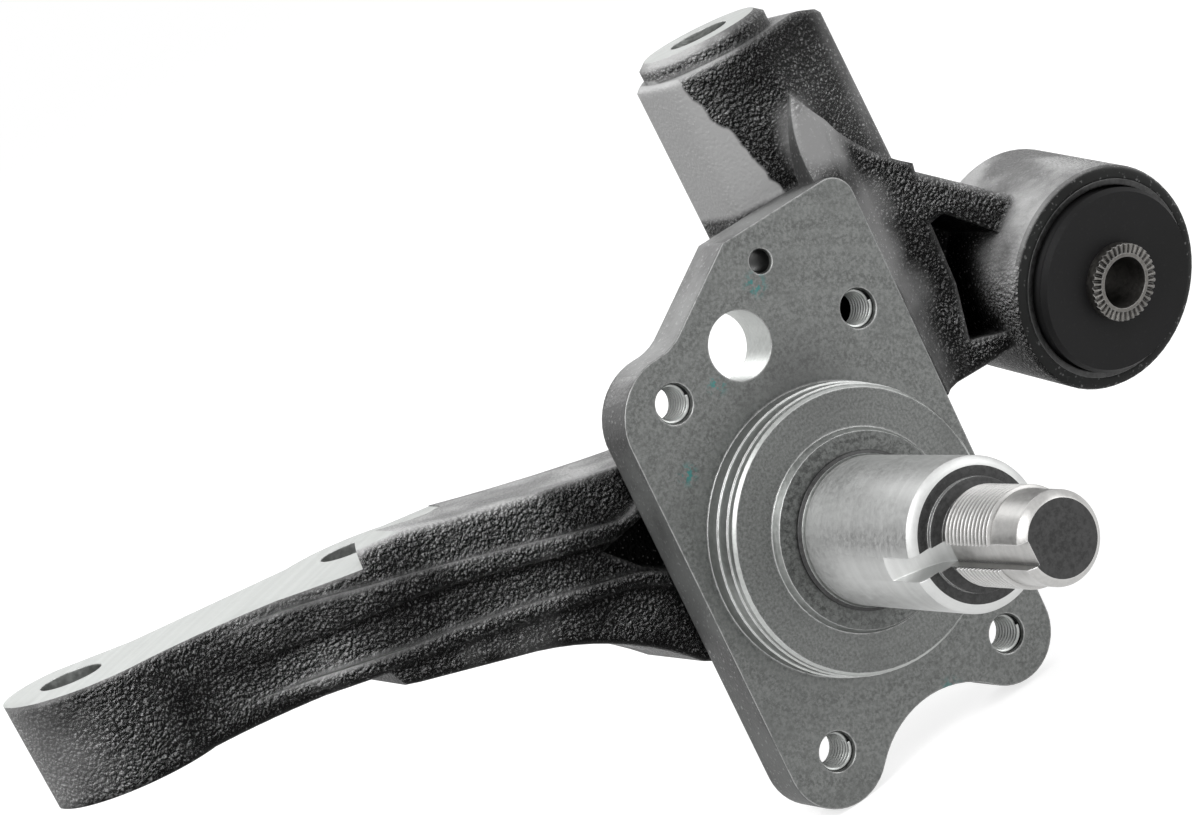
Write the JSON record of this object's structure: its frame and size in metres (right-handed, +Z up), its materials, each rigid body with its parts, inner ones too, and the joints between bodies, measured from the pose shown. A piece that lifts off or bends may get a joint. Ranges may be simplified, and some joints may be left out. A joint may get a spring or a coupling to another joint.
{
  "type": "steering knuckle",
  "caption": "Cast steering knuckle with a machined flange, a pressed-in wheel spindle, a bolt-on long arm, an upper boss and a rubber-bushed eye",
  "frame": {"origin": "on the spindle axis, where the bearing journal starts, 15 mm outboard of the machined flange face", "axes": "-Y runs outboard along the spindle, +Z runs up along the upper boss and its bolt hole, +X points to the bush eye and -X to the long arm"},
  "size_m": [0.2978, 0.1586, 0.1676],
  "materials": {
    "knuckle": "gloss black paint over sand-cast skin, with bare machined faces",
    "spindle": "ground bright steel",
    "bush_outer_sleeve": "dark oiled steel tube",
    "bush_rubber": "moulded dull rubber",
    "bush_inner_sleeve": "dull steel with serrated ends"
  },
  "bodies": {
    "root": {"knuckle": "knuckle", "spindle": "spindle", "bush_outer_sleeve": "bush_outer_sleeve", "bush_rubber": "bush_rubber", "bush_inner_sleeve": "bush_inner_sleeve"}
  },
  "joints": []
}
